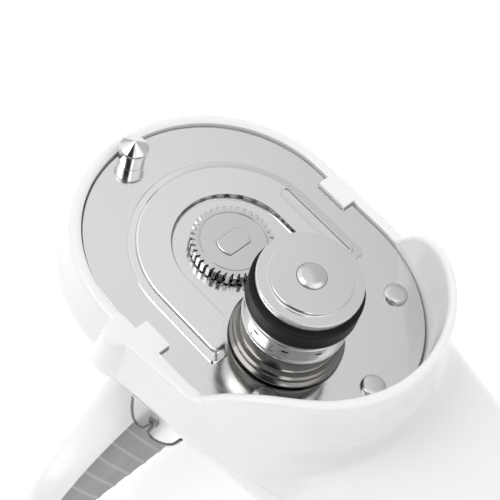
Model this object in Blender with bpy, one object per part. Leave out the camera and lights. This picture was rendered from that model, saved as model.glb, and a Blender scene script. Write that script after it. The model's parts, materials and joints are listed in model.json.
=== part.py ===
# Manual side-cutting can opener, modelled as an assembly of separate parts.
# Design units are millimetres and are turned into metres at the end.
# Frame: +Z is the drive axis and points out of the steel face of the head,
# +X runs from the head to the handle end. The origin is the centre of the
# flat outer end of the drive shaft.

import bpy
import bmesh
import math
from mathutils import Matrix, Vector

# ------------------------------------------------------------------ dimensions
MM = 0.001
Z_FACE = 2.4            # drive shaft end above the top face of the base plate
GAP = 0.3               # clearance between pieces that touch

PLATE_T = 1.6           # base plate thickness
YC = 0.3                # centre line of head and handle, off the drive axis
XL, XR = -2.5, 12.0     # centres of the round ends of the base plate
RXL, RXR, RY = 22.4, 23.9, 22.4   # base plate end radii along X, half width

NOTCH_L = (1.9, 7.6)    # X span of the two snap notches in the plate
NOTCH_R = (-0.5, 5.9)
NOTCH_D = 2.3

HEAD_TOP = 0.9          # rim above the plate
HEAD_BOT = -12.8        # back of the head
Z_SPLIT = -7.0          # parting plane of the two shells
GUARD_X0 = 16.4         # guard wall starts here on both sides
GUARD_H = 12.0          # height of the guard wall over the plate
GUARD_T = 2.0

HANDLE_X0, HANDLE_X1 = 8.0, 176.0

WHEEL_R, WHEEL_ROOT, WHEEL_TEETH = 6.93, 6.2, 38
WHEEL_Z0, WHEEL_Z1 = 0.3, 2.15
SHAFT_R = 4.0
DD_R, DD_FLAT = 3.1, 1.75

CUT_X, CUT_Y = 17.18, -4.135      # cutter axis, swung out
CAM_X, CAM_Y = 16.286, -4.236     # pivot of the eccentric carrier
DRUM_R = 10.0
FRICTION_R = 6.5

KEY_A, KEY_B = 45.0, 14.6         # half length and half height of the turning key
KEY_Z = -31.4                     # centre of the key
KEY_TURN = math.radians(9.3)      # angle of the key at rest, from -Y towards +X

SEG = 32                # segments of a visible round piece
SEG_S = 20              # segments of a small or hidden round piece

# ------------------------------------------------------------------ scene reset
for ob in list(bpy.data.objects):
    bpy.data.objects.remove(ob, do_unlink=True)


# ------------------------------------------------------------------ helpers
def mesh_object(name, verts, faces):
    me = bpy.data.meshes.new(name)
    me.from_pydata([tuple(v) for v in verts], [], [tuple(f) for f in faces])
    me.validate()
    ob = bpy.data.objects.new(name, me)
    bpy.context.scene.collection.objects.link(ob)
    bm = bmesh.new()
    bm.from_mesh(me)
    bmesh.ops.recalc_face_normals(bm, faces=bm.faces)
    if bm.calc_volume(signed=True) < 0:
        bmesh.ops.reverse_faces(bm, faces=bm.faces)
    bm.to_mesh(me)
    bm.free()
    return ob


def drop(ob):
    me = ob.data
    bpy.data.objects.remove(ob, do_unlink=True)
    bpy.data.meshes.remove(me)


def closed_mesh(me):
    bm = bmesh.new()
    bm.from_mesh(me)
    ok = all(e.is_manifold for e in bm.edges) and abs(bm.calc_volume()) > 1.0
    bm.free()
    return ok


def boolean(ob, cutter, op="DIFFERENCE", keep=False):
    """Joins, cuts or intersects ob with cutter and keeps the result in ob."""
    for solver in ("EXACT", "MANIFOLD"):           # the second only where the first leaves a gap
        mod = ob.modifiers.new("b", "BOOLEAN")
        mod.operation = op
        mod.solver = solver
        mod.object = cutter
        deps = bpy.context.evaluated_depsgraph_get()
        deps.update()
        new = bpy.data.meshes.new_from_object(ob.evaluated_get(deps))
        ob.modifiers.remove(mod)
        if closed_mesh(new) or solver == "MANIFOLD":
            break
        bpy.data.meshes.remove(new)
    old = ob.data
    ob.data = new
    new.name = ob.name
    bpy.data.meshes.remove(old)
    if not keep:
        drop(cutter)
    return ob


def loft(name, rings, closed=True):
    """Skin through rings of equal point count, with flat ends."""
    n = len(rings[0])
    verts = [p for r in rings for p in r]
    faces = []
    for i in range(len(rings) - 1):
        for j in range(n):
            k = (j + 1) % n
            faces.append((i * n + j, i * n + k, (i + 1) * n + k, (i + 1) * n + j))
    if closed:
        faces.append(tuple(range(n)))
        faces.append(tuple((len(rings) - 1) * n + j for j in range(n)))
    return mesh_object(name, verts, faces)


def prism(name, outline, z0, z1):
    return loft(name, [[(x, y, z0) for x, y in outline], [(x, y, z1) for x, y in outline]])


def circle(cx, cy, r, n=SEG, turn=0.0):
    return [(cx + r * math.cos(turn + 2 * math.pi * i / n), cy + r * math.sin(turn + 2 * math.pi * i / n)) for i in range(n)]


def rod(name, cx, cy, r, z0, z1, n=SEG_S):
    return prism(name, circle(cx, cy, r, n), z0, z1)


def turned(name, cx, cy, profile, n=SEG, hole=None):
    """Solid of revolution about a vertical axis. profile = (r, z) from top to bottom."""
    rings = []
    for r, z in profile:
        rings.append([(x, y, z) for x, y in circle(cx, cy, r, n)])
    if hole is None:
        return loft(name, rings)
    m = len(profile)
    for r, z in ((hole, profile[-1][1]), (hole, profile[0][1])):
        rings.append([(x, y, z) for x, y in circle(cx, cy, r, n)])
    k = len(rings)
    verts = [p for ring in rings for p in ring]
    faces = []
    for i in range(k):
        a, b = i, (i + 1) % k
        for j in range(n):
            q = (j + 1) % n
            faces.append((a * n + j, a * n + q, b * n + q, b * n + j))
    return mesh_object(name, verts, faces)


def outline(off, n_end=16, n_side=2, y_extra=0.0):
    """Head outline: two elliptic ends and straight sides, moved outwards by off."""
    pts = []
    for i in range(n_end + 1):                     # handle end, -90 to 90 degrees
        a = -math.pi / 2 + math.pi * i / n_end
        nx, ny = math.cos(a) / RXR, math.sin(a) / RY
        k = math.hypot(nx, ny)
        pts.append((XR + RXR * math.cos(a) + off * nx / k, YC + RY * math.sin(a) + off * ny / k))
    for i in range(1, n_side):
        t = i / n_side
        pts.append((XR + (XL - XR) * t, YC + RY + off))
    for i in range(n_end + 1):                     # front tip
        a = math.pi / 2 + math.pi * i / n_end
        nx, ny = math.cos(a) / RXL, math.sin(a) / RY
        k = math.hypot(nx, ny)
        pts.append((XL + RXL * math.cos(a) + off * nx / k, YC + RY * math.sin(a) + off * ny / k))
    for i in range(1, n_side):
        t = i / n_side
        pts.append((XL + (XR - XL) * t, YC - RY - off))
    return pts


def ring_at(off, z, **kw):
    return [(x, y, z) for x, y in outline(off, **kw)]


def interp(table, x):
    """Smooth value from a table of (x, value) rows."""
    if x <= table[0][0]:
        return table[0][1]
    for (x0, v0), (x1, v1) in zip(table, table[1:]):
        if x <= x1:
            t = (x - x0) / (x1 - x0)
            t = t * t * (3 - 2 * t) * 0.5 + t * 0.5
            return v0 + (v1 - v0) * t
    return table[-1][1]


HANDLE_W = ((8, 23.6), (20, 23.9), (35, 21.8), (50, 19.4), (75, 16.2), (105, 14.6), (140, 15.2), (160, 14.4), (176, 11.5))
HANDLE_TOP = ((8, -4.0), (35, -4.0), (45, -3.2), (80, -1.0), (120, -1.6), (150, -4.4), (176, -8.0))
HANDLE_BOT = ((8, -12.0), (25, -13.8), (50, -17.0), (80, -21.0), (120, -23.0), (150, -23.6), (176, -22.0))


def handle_section(x, inset=0.0, n=24):
    """Rounded section of the handle at x, in the YZ plane."""
    w = interp(HANDLE_W, x) - inset
    zt = interp(HANDLE_TOP, x) - inset
    zb = interp(HANDLE_BOT, x) + inset
    end = HANDLE_X1 - inset
    r = 16.0
    if x > end - r:                                # round end
        u = min(1.0, (x - (end - r)) / r)
        k = math.sqrt(max(0.0, 1 - u * u))
        w *= 0.25 + 0.75 * k
        mid = 0.5 * (zt + zb)
        zt = mid + (zt - mid) * (0.35 + 0.65 * k)
        zb = mid + (zb - mid) * (0.35 + 0.65 * k)
    cz, h = 0.5 * (zt + zb), 0.5 * (zt - zb)
    pts = []
    for i in range(n):
        a = 2 * math.pi * (i + 0.5) / n
        c, s = math.cos(a), math.sin(a)
        e = 2 / 2.5
        pts.append((x, YC + w * math.copysign(abs(c) ** e, c), cz + h * math.copysign(abs(s) ** e, s)))
    return pts


def handle_solid(name, x0, x1, inset=0.0, n=24):
    xs = [x0 + (x1 - 18 - x0) * i / 10 for i in range(11)]
    xs += [x1 - 18 + 18 * math.sin(math.pi / 2 * i / 5) for i in range(1, 6)]
    return loft(name, [handle_section(x, inset, n) for x in xs])


def head_solid(name):
    rows = ((1.4, HEAD_TOP), (2.0, 0.55), (2.4, -0.6), (3.3, -4.0), (3.9, -6.9), (3.0, -8.2), (1.2, -10.6), (-1.4, HEAD_BOT))
    return loft(name, [ring_at(off, z) for off, z in rows])


def guard_height(x):
    """Top of the guard wall over the plate, rising from the rim to full height."""
    t = max(0.0, min(1.0, (x - GUARD_X0) / 12.0))
    return 1.0 + (GUARD_H - 1.0) * math.sin(math.pi / 2 * t) ** 0.8


def guard_wall(name):
    """Wall round the handle end of the plate, swept along the head outline."""
    n = 26
    rings = []
    for i in range(n + 1):
        a = -math.pi / 2 + math.pi * i / n
        a *= 0.94
        nx, ny = math.cos(a) / RXR, math.sin(a) / RY
        k = math.hypot(nx, ny)
        px, py = XR + RXR * math.cos(a), YC + RY * math.sin(a)
        h = guard_height(px)
        t = GUARD_T - 0.9 * max(0.0, math.sin(a))  # a little thinner on the far side
        sec = []
        for off, z in ((0.0, -3.0), (0.0, h - 0.5), (0.6, h), (t - 0.4, h), (0.3 + t, h - 0.6), (0.3 + t, -3.0)):
            sec.append((px + off * nx / k, py + off * ny / k, z))
        rings.append(sec)
    return loft(name, rings)


def edge_pad(name):
    """Flat-topped pad on the near edge of the front shell, with a round nose at its front end."""
    top = [(-1.5, -23.0), (-1.5, -24.3), (-1.2, -25.4), (-0.6, -26.3), (0.1, -26.85), (1.0, -27.05), (1.9, -26.8), (2.6, -26.1), (3.15, -25.25),
           (6.1, -24.85), (10.1, -24.4), (16.7, -23.8), (19.5, -22.0), (18.0, -16.0), (0.0, -16.0)]
    low = [(-2.7, -23.4), (-2.75, -24.8), (-2.4, -26.3), (-1.6, -27.2), (-0.4, -27.85), (1.0, -28.1), (2.3, -27.9), (3.3, -27.5), (4.2, -27.0),
           (7.4, -26.5), (11.5, -26.1), (17.6, -25.4), (20.5, -23.0), (18.0, -16.0), (0.0, -16.0)]
    return loft(name, [[(x, y + (0.4 if y < -20 else 0), 0.5) for x, y in top], [(x, y, 0.1) for x, y in top], [(x, y, -7.2) for x, y in low]])


def box(name, x0, x1, y0, y1, z0, z1):
    return prism(name, [(x0, y0), (x1, y0), (x1, y1), (x0, y1)], z0, z1)


def stadium(x0, x1, y, r, n=12):
    pts = []
    for i in range(n + 1):
        a = -math.pi / 2 + math.pi * i / n
        pts.append((x1 + r * math.cos(a), y + r * math.sin(a)))
    for i in range(n + 1):
        a = math.pi / 2 + math.pi * i / n
        pts.append((x0 + r * math.cos(a), y + r * math.sin(a)))
    return pts


MATERIALS = {
    "white": ((0.86, 0.86, 0.86), 0.28, 0.0),
    "steel": ((0.62, 0.62, 0.61), 0.18, 1.0),
    "steel_dull": ((0.48, 0.48, 0.47), 0.32, 1.0),
    "chrome": ((0.72, 0.72, 0.73), 0.08, 1.0),
    "grey": ((0.33, 0.33, 0.33), 0.55, 0.0),
    "black": ((0.02, 0.02, 0.02), 0.6, 0.0),
    "bush": ((0.55, 0.50, 0.40), 0.45, 0.0),
}

PARENTS = {}


def empty(name, loc, parent=None):
    ob = bpy.data.objects.new(name, None)
    bpy.context.scene.collection.objects.link(ob)
    ob.location = [v * MM for v in loc]
    if parent is not None:
        ob.parent = parent
    PARENTS[name] = (ob, loc if parent is None else tuple(a + b for a, b in zip(loc, PARENTS[parent.name][1])))
    return ob


def finish(ob, material, parent, smooth=True):
    """Scales to metres, puts the origin on the parent's axis, sets the material."""
    base = Vector(PARENTS[parent][1])
    # mesh coordinates count from the plate's top face at the drive axis
    ob.data.transform(Matrix.Translation(Vector((0, 0, -Z_FACE)) - base))
    ob.data.transform(Matrix.Scale(MM, 4))
    ob.parent = PARENTS[parent][0]
    colour, rough, metal = MATERIALS[material]
    mat = bpy.data.materials.new(ob.name)
    mat.use_nodes = True
    bsdf = mat.node_tree.nodes["Principled BSDF"]
    bsdf.inputs["Base Color"].default_value = (*colour, 1)
    bsdf.inputs["Roughness"].default_value = rough
    bsdf.inputs["Metallic"].default_value = metal
    mat.diffuse_color = (*colour, 1)
    ob.data.materials.clear()
    ob.data.materials.append(mat)
    if smooth:
        ob.data.shade_smooth()
        ob.data.set_sharp_from_angle(angle=math.radians(35))
    return ob


# ------------------------------------------------------------------ frames
empty("housing_frame", (0, 0, 0))
empty("crank_axis", (0, 0, 0))
empty("cam_axis", (CAM_X, CAM_Y, -Z_FACE))
empty("roller_axis", (CUT_X - CAM_X, CUT_Y - CAM_Y, 0), PARENTS["cam_axis"][0])

SCREWS = ((-17.0, 7.5), (-17.0, -9.0), (62.0, YC), (128.0, YC))
RIVETS = ((22.6, 15.6), (31.9, 0.5), (22.9, -14.4))
PIN = (-22.65, -1.5)


# ------------------------------------------------------------------ shells
def outer_shell(name):
    ob = head_solid(name)
    boolean(ob, handle_solid("h", HANDLE_X0, HANDLE_X1), "UNION")
    boolean(ob, edge_pad("p"), "UNION")
    return ob


def cavity(name, zt, zb):
    """Hollow of the head between the plate shelf and the rear cover."""
    return prism(name, outline(-1.0, 12, 2), zb, zt)


front = outer_shell("front_housing")
boolean(front, guard_wall("g"), "UNION")
boolean(front, box("c", -60, 220, -60, 60, -60, Z_SPLIT))
boolean(front, prism("r", outline(GAP), -PLATE_T - GAP, 30))
boolean(front, cavity("c", -4.0, -30))
boolean(front, prism("o", stadium(0, 14, YC, 14.0), -8, 0))
boolean(front, handle_solid("hc", 41.0, HANDLE_X1 - 2.4, 2.2, 16))
tab_l = box("t", NOTCH_L[0] + GAP, NOTCH_L[1] - GAP, YC - RY - 1.2, YC - RY + NOTCH_D - GAP, -3.0, 0.25)
tab_r = box("t", NOTCH_R[0] + GAP, NOTCH_R[1] - GAP, YC + RY - NOTCH_D + GAP, YC + RY + 1.2, -3.0, 0.25)
boolean(front, tab_l, "UNION")
boolean(front, tab_r, "UNION")
for sx, sy in SCREWS:                              # bosses that take the screws
    top = -3.4 if sx < 30 else interp(HANDLE_TOP, sx) - 1.6
    boolean(front, rod("b", sx, sy, 3.4, Z_SPLIT, top, 16), "UNION")
    boolean(front, rod("b", sx, sy, 1.7, Z_SPLIT - 1, (-4.2 if sx < 30 else -4.6), 16))
for rx, ry in RIVETS:
    boolean(front, rod("b", rx, ry, 1.3 + GAP, -8, 0, 16))
boolean(front, rod("b", PIN[0], PIN[1], 1.5 + GAP, -8, 0, 16))

rear = outer_shell("rear_housing")
boolean(rear, box("c", -60, 220, -60, 60, Z_SPLIT - GAP, 60))
boolean(rear, cavity("c", 5.0, -10.4))
boolean(rear, handle_solid("hc", 41.0, HANDLE_X1 - 2.4, 2.2, 16))
boolean(rear, rod("b", 0, 0, 8.55, -11.43, -9.2, 26), "UNION")
boolean(rear, rod("b", 0, 0, 5.8 + GAP, -14, -8, 24))
boolean(rear, rod("b", CAM_X, CAM_Y, 6.2, -11.5, -9.4, 24), "UNION")
boolean(rear, rod("b", CAM_X, CAM_Y, 4.0 + GAP, -10.9, -8, 24))
for ang in (190.0, 330.0):                         # stops of the cutter carrier
    a = math.radians(ang)
    boolean(rear, rod("b", CAM_X + 11.5 * math.cos(a), CAM_Y + 11.5 * math.sin(a), 1.0, -11.4, -5.6, 12), "UNION")
for sx, sy in SCREWS:
    floor = HEAD_BOT if sx < 30 else interp(HANDLE_BOT, sx)
    boolean(rear, rod("b", sx, sy, 3.6, floor + 1.0, Z_SPLIT - GAP, 16), "UNION")
    boolean(rear, rod("b", sx, sy, 1.5 + GAP, -40, 0, 16))
    boolean(rear, rod("b", sx, sy, 2.7 + GAP, -40, floor + 1.9, 16))
# seat of the crown-cap lifter in the back of the head
boolean(rear, box("s", 6.7, 16.3, -21.6, -17.7, -15, -11.75), "DIFFERENCE")
boolean(rear, loft("s", [[(x, -26.7 + 0.115 * (x - 4.19) + d, z) for x, z in ((7.2, -6.5), (7.2, -16.0), (18.5, -16.0), (18.5, -6.5))] for d in (1.5, -4.0)]), "DIFFERENCE")

# ------------------------------------------------------------------ steel face
plate = prism("base_plate", outline(0.0), -PLATE_T, 0)
boolean(plate, box("n", NOTCH_L[0], NOTCH_L[1], -40, YC - RY + NOTCH_D, -5, 5))
boolean(plate, box("n", NOTCH_R[0], NOTCH_R[1], YC + RY - NOTCH_D, 40, -5, 5))
boolean(plate, rod("h", 0, 0, 5.4 + GAP, -5, 5))
boolean(plate, rod("h", CAM_X, CAM_Y, 5.5 + GAP, -5, 5))
boolean(plate, rod("h", PIN[0], PIN[1], 1.5 + GAP, -5, 5, 16))
for rx, ry in RIVETS:
    boolean(plate, rod("h", rx, ry, 1.3 + GAP, -5, 5, 16))


def horseshoe(out, inn, x_end, n=20):
    """Outline of the rim pad: two arcs about the drive axis and two legs."""
    pts = [(x_end, YC - out + 0.6), (x_end - 0.6, YC - out)]
    for i in range(n + 1):
        a = -math.pi / 2 - math.pi * i / n
        pts.append((0.2 + out * math.cos(a), YC + out * math.sin(a)))
    pts += [(x_end - 0.6, YC + out), (x_end, YC + out - 0.6)]
    pts += [(x_end, YC + inn + 0.5), (x_end - 0.5, YC + inn)]
    for i in range(n + 1):
        a = math.pi / 2 + math.pi * i / n
        pts.append((0.3 + inn * math.cos(a), YC + inn * math.sin(a)))
    pts += [(x_end - 0.5, YC - inn), (x_end, YC - inn - 0.5)]
    return pts


PAD_X = 13.9
pad = loft("rim_pad", [[(x, y, GAP) for x, y in horseshoe(17.0, 9.9, PAD_X)],
                       [(x, y, 0.5) for x, y in horseshoe(16.6, 9.95, PAD_X - 0.5)],
                       [(x, y, 0.9) for x, y in horseshoe(15.8, 10.05, PAD_X - 1.9)]])
# the cutter stack passes the end of the near leg
boolean(pad, rod("c", CUT_X, CUT_Y, 9.25 + 0.9, -2, 5, 40))

tip_pin = turned("tip_pin", PIN[0], PIN[1], ((0.3, 4.7), (2.3, 3.8), (2.5, 3.55), (2.5, 3.2), (2.25, 2.95), (2.2, GAP), (1.5, GAP), (1.5, -3.6)), 24)
rivets = []
for i, (rx, ry) in enumerate(RIVETS):
    rivets.append(turned("plate_rivet_%d" % (i + 1), rx, ry, ((0.7, 0.95), (1.5, 0.8), (2.0, 0.45), (2.05, GAP), (1.3, GAP), (1.3, -3.7)), 20))

bush_f = turned("shaft_bush_front", 0, 0, ((5.4, -0.1), (5.4, -PLATE_T - GAP), (6.6, -PLATE_T - GAP), (6.6, -3.4)), 24, SHAFT_R + GAP)
bush_r = turned("shaft_bush_rear", 0, 0, ((6.5, -8.1), (6.5, -8.9), (5.8, -8.9), (5.8, -12.7)), 24, SHAFT_R + GAP)

screws = []
for i, (sx, sy) in enumerate(SCREWS):
    floor = HEAD_BOT if sx < 30 else interp(HANDLE_BOT, sx)
    screws.append(turned("housing_screw_%d" % (i + 1), sx, sy, ((1.4, -5.0), (1.4, floor + 1.9 - GAP), (2.7, floor + 1.9 - GAP), (2.7, floor + 0.5)), 14))

# crown-cap lifter: an upright claw with two lobes and a notch between them, on a foot under the rear shell
claw = [(7.5, -7.3), (7.75, -10.1), (8.2, -12.5), (8.75, -14.3), (9.5, -14.95), (10.4, -14.85), (11.2, -14.3), (11.65, -13.1), (12.3, -11.6),
        (12.05, -12.9), (11.85, -14.1), (12.1, -14.85), (12.85, -15.2), (13.85, -15.0), (14.95, -14.3), (16.0, -13.2), (16.95, -11.7), (17.6, -9.8), (18.1, -8.0), (18.2, -7.3)]


def claw_plane(x):
    return -26.7 + 0.115 * (x - 4.19)


cap_lift = loft("crown_cap_insert", [[(x, claw_plane(x) + d, z) for x, z in claw] for d in (1.2, 0.0)])
boolean(cap_lift, box("f", 9.0, 16.0, -25.2, -18.5, -14.3, HEAD_BOT - GAP), "UNION")
boolean(cap_lift, box("k", 7.1, 15.9, -21.2, -18.1, -14.3, -12.1), "UNION")

# ------------------------------------------------------------------ turning key and drive shaft
shaft_prof = ((SHAFT_R, 0.0), (SHAFT_R, -13.0), (3.4, -13.0), (3.4, -30.0))
shaft = turned("drive_shaft", 0, 0, shaft_prof, SEG_S)
dd = prism("dd", [(x, y) for x, y in circle(0, 0, DD_R, 32)], -0.5, Z_FACE)
boolean(dd, box("k", -DD_FLAT, DD_FLAT, -6, 6, -2, 5), "INTERSECT")
boolean(shaft, dd, "UNION")
boolean(shaft, rod("t", 0, 0, 1.3 + GAP, -40, -21.5, 12))

teeth = []
for i in range(WHEEL_TEETH):
    for k, r in ((0.0, WHEEL_ROOT), (0.28, WHEEL_ROOT), (0.5, WHEEL_R), (0.78, WHEEL_R)):
        a = 2 * math.pi * (i + k) / WHEEL_TEETH
        teeth.append((r * math.cos(a), r * math.sin(a)))
wheel = prism("drive_wheel", teeth, WHEEL_Z0, WHEEL_Z1)
bore = prism("dd", [(x, y) for x, y in circle(0, 0, DD_R + GAP, 32)], -1, 5)
boolean(bore, box("k", -DD_FLAT - GAP, DD_FLAT + GAP, -6, 6, -2, 6), "INTERSECT")
boolean(wheel, bore)

fr_hub = turned("friction_hub", 0, 0, ((5.4, -5.3), (5.4, -7.5)), SEG_S, SHAFT_R + GAP)
fr_ring = turned("friction_ring", 0, 0, ((FRICTION_R, -5.3), (FRICTION_R, -7.5)), SEG, 5.4 + GAP)
wave = turned("wave_washer", 0, 0, ((6.2, -3.7), (6.2, -5.0)), SEG_S, SHAFT_R + GAP)
thrust = turned("thrust_washer", 0, 0, ((7.5, -13.3), (7.5, -14.2)), SEG_S, 3.4 + GAP)


def key_half_thickness(e):
    return 4.8 + 3.8 * max(0.0, math.cos(math.pi / 2 * min(1.0, abs(e) / KEY_A))) ** 3


def key_half_height(e):
    return KEY_B * max(0.0, 1 - (abs(e) / KEY_A) ** 2.5) ** 0.4


def key_point(e, n, z):
    """From key coordinates (along the wing, across it, up) to the design frame."""
    s, c = math.sin(KEY_TURN), math.cos(KEY_TURN)
    return (e * s + n * c, -e * c + n * s, z)


def key_loft(name, dn=0.0, dh=0.0, nsec=20, nst=17, expo=2.8):
    """Oval key body; dn and dh move its faces and its edge inwards."""
    rings = []
    for i in range(nst):
        u = -1 + 2 * i / (nst - 1)
        e = (KEY_A - dh) * math.sin(math.pi / 2 * u) * 0.9992
        t = (key_half_thickness(e) - dn)
        h = max(0.6, key_half_height(e * KEY_A / (KEY_A - dh)) * (KEY_B - dh) / KEY_B)
        edge = min(1.0, 0.35 + 0.65 * h / 6.0)     # thinner towards the tips
        sec = []
        for j in range(nsec):
            a = 2 * math.pi * (j + 0.5) / nsec
            c, s = math.cos(a), math.sin(a)
            sec.append(key_point(e, t * edge * math.copysign(abs(c) ** (2 / expo), c), KEY_Z + h * math.copysign(abs(s) ** (2 / expo), s)))
        rings.append(sec)
    return loft(name, rings)


def key_outline_prism(name, inset, n0, n1, n=40):
    """Prism across the key, with its oval outline moved inwards by inset."""
    a_, b_ = KEY_A - inset, KEY_B - inset
    rings = []
    for nn in (n0, n1):
        ring = []
        for i in range(n):
            t = 2 * math.pi * (i + 0.5) / n
            c, s = math.cos(t), math.sin(t)
            ring.append(key_point(a_ * math.copysign(abs(c) ** 0.8, c), nn, KEY_Z + b_ * math.copysign(abs(s) ** 0.8, s)))
        rings.append(ring)
    return loft(name, rings)


key = key_loft("crank_shell")
boolean(key, turned("b", 0, 0, ((9.0, -14.5), (9.0, -20.0)), SEG), "UNION")
grips = []
for name, sgn in (("crank_grip_front", 1), ("crank_grip_rear", -1)):
    grip = key_loft(name, 0.02, 0.02)
    boolean(grip, key_outline_prism("o", 1.9, sgn * 0.5, sgn * 20), "INTERSECT")
    boolean(grip, key_loft("i", 1.5, 0.0, 20, 17))
    pocket = key_outline_prism("o", 1.9 - GAP, sgn * 0.4, sgn * 21)
    boolean(pocket, key_loft("i", 1.5 + 1.5 * GAP, 0.0, 20, 17))
    boolean(key, pocket)
    grips.append(grip)
boolean(key, rod("b", 0, 0, 3.4 + GAP, -30.0 - GAP, -5, SEG_S))
boolean(key, rod("b", 0, 0, 1.3 + GAP, -45, -20, 12))
boolean(key, rod("b", 0, 0, 3.6, -60, -41.0, SEG_S))

key_screw = turned("crank_screw", 0, 0, ((1.3, -23.0), (1.3, -41.0 - GAP), (3.0, -41.0 - GAP), (3.0, -42.6)), 16)
key_cap = turned("crank_screw_cap", 0, 0, ((3.3, -43.0), (3.3, -45.4)), SEG_S)

# ------------------------------------------------------------------ cutter carrier
cam = turned("cam_carrier", CAM_X, CAM_Y, ((5.5, -0.15), (5.5, -5.3), (DRUM_R, -5.3), (DRUM_R, -7.6), (4.0, -7.6), (4.0, -10.5)), SEG)
lug = []
for r, a0, a1 in ((12.4, 200.0, 230.0),):
    lug = [(CAM_X + 8 * math.cos(math.radians(a0 + 4)), CAM_Y + 8 * math.sin(math.radians(a0 + 4)))]
    for i in range(6):
        a = math.radians(a0 + (a1 - a0) * i / 5)
        lug.append((CAM_X + r * math.cos(a), CAM_Y + r * math.sin(a)))
    lug.append((CAM_X + 8 * math.cos(math.radians(a1 - 4)), CAM_Y + 8 * math.sin(math.radians(a1 - 4))))
boolean(cam, prism("l", lug, -7.5, -5.6), "UNION")
boolean(cam, rod("h", CUT_X, CUT_Y, 2.3 + GAP, -8.5, 3, SEG_S))
spindle = turned("cutter_spindle", CUT_X, CUT_Y, ((0.5, 18.55), (1.5, 18.35), (2.2, 17.95), (2.35, 17.81 + GAP), (2.3, 17.81 + GAP), (2.3, -8.2)), SEG_S)
cam_washer = turned("cam_washer", CAM_X, CAM_Y, ((7.6, -7.9), (7.6, -9.1)), SEG_S, 4.0 + GAP)

# ------------------------------------------------------------------ cutter stack
HOLE = 2.3 + GAP
cutter = turned("cutter_wheel", CUT_X, CUT_Y, ((6.6, 1.2), (9.25, 0.6), (9.25, 0.45), (6.6, 0.2)), SEG, HOLE)
hub = turned("cutter_hub", CUT_X, CUT_Y, ((6.6, 6.05), (6.5, 4.6), (7.0, 3.4), (7.6, 2.9), (7.9, 2.0), (8.6, 1.5)), SEG, HOLE)
ring = turned("steel_ring", CUT_X, CUT_Y, ((8.3, 11.2), (8.4, 9.0), (8.1, 8.7), (8.3, 8.4), (8.14, 6.35)), SEG, HOLE)
rubber = turned("rubber_ring", CUT_X, CUT_Y, ((8.5, 15.0), (8.84, 14.6), (8.84, 11.9), (8.7, 11.5)), SEG, HOLE)
cap = turned("roller_cap", CUT_X, CUT_Y, ((6.33, 17.81), (6.33, 17.2), (7.9, 17.2), (8.21, 16.9), (8.21, 15.3)), SEG, HOLE)

# ------------------------------------------------------------------ place everything
for ob, mat, par in (
    (front, "white", "housing_frame"), (rear, "white", "housing_frame"),
    (plate, "steel", "housing_frame"), (pad, "steel", "housing_frame"),
    (tip_pin, "steel", "housing_frame"),
    *((ob, "steel", "housing_frame") for ob in rivets),
    *((ob, "steel_dull", "housing_frame") for ob in screws),
    (bush_f, "bush", "housing_frame"), (bush_r, "bush", "housing_frame"),
    (cap_lift, "chrome", "housing_frame"),
    (shaft, "steel_dull", "crank_axis"), (wheel, "steel_dull", "crank_axis"),
    (fr_hub, "steel_dull", "crank_axis"), (fr_ring, "black", "crank_axis"),
    (wave, "steel_dull", "crank_axis"), (thrust, "bush", "crank_axis"),
    (key, "white", "crank_axis"), (grips[0], "grey", "crank_axis"), (grips[1], "grey", "crank_axis"),
    (key_screw, "steel_dull", "crank_axis"), (key_cap, "white", "crank_axis"),
    (cam, "steel_dull", "cam_axis"), (spindle, "steel", "cam_axis"), (cam_washer, "bush", "cam_axis"),
    (cutter, "steel", "roller_axis"), (hub, "steel", "roller_axis"), (ring, "steel", "roller_axis"),
    (rubber, "black", "roller_axis"), (cap, "steel", "roller_axis"),
):
    finish(ob, mat, par)
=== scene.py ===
# Looks of the manual can opener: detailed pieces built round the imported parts.
# Working units below are millimetres over the top face of the steel plate, on
# the drive axis; put() turns them into metres in the frame of the parts.
import bpy
import bmesh
import json
import math
import numpy as np
from mathutils import Matrix, Vector


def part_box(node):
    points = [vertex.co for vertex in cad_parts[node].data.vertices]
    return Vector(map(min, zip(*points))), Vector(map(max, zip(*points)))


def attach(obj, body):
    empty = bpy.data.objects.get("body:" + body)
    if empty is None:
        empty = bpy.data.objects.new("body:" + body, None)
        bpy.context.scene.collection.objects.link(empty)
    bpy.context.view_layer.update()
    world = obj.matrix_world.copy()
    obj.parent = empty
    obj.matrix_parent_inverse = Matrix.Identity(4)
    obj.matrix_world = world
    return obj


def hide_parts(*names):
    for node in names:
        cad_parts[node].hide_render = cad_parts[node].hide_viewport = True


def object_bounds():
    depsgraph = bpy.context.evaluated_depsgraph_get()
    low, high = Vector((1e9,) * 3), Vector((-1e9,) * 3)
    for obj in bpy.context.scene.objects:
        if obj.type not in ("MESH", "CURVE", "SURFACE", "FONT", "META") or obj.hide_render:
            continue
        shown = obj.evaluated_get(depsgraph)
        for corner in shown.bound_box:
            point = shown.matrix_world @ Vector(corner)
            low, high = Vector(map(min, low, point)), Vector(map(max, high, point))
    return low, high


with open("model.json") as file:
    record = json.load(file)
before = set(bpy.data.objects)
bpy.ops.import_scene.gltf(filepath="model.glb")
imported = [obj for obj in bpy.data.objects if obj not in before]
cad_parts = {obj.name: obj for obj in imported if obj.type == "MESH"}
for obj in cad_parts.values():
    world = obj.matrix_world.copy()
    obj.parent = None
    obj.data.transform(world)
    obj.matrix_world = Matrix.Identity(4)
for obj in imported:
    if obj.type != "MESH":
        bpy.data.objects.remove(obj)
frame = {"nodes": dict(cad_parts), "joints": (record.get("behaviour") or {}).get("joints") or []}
CAD_LO, CAD_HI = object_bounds()
NODES = frame["nodes"]
JOINTS = {j["name"]: j for j in frame["joints"]}

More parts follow.
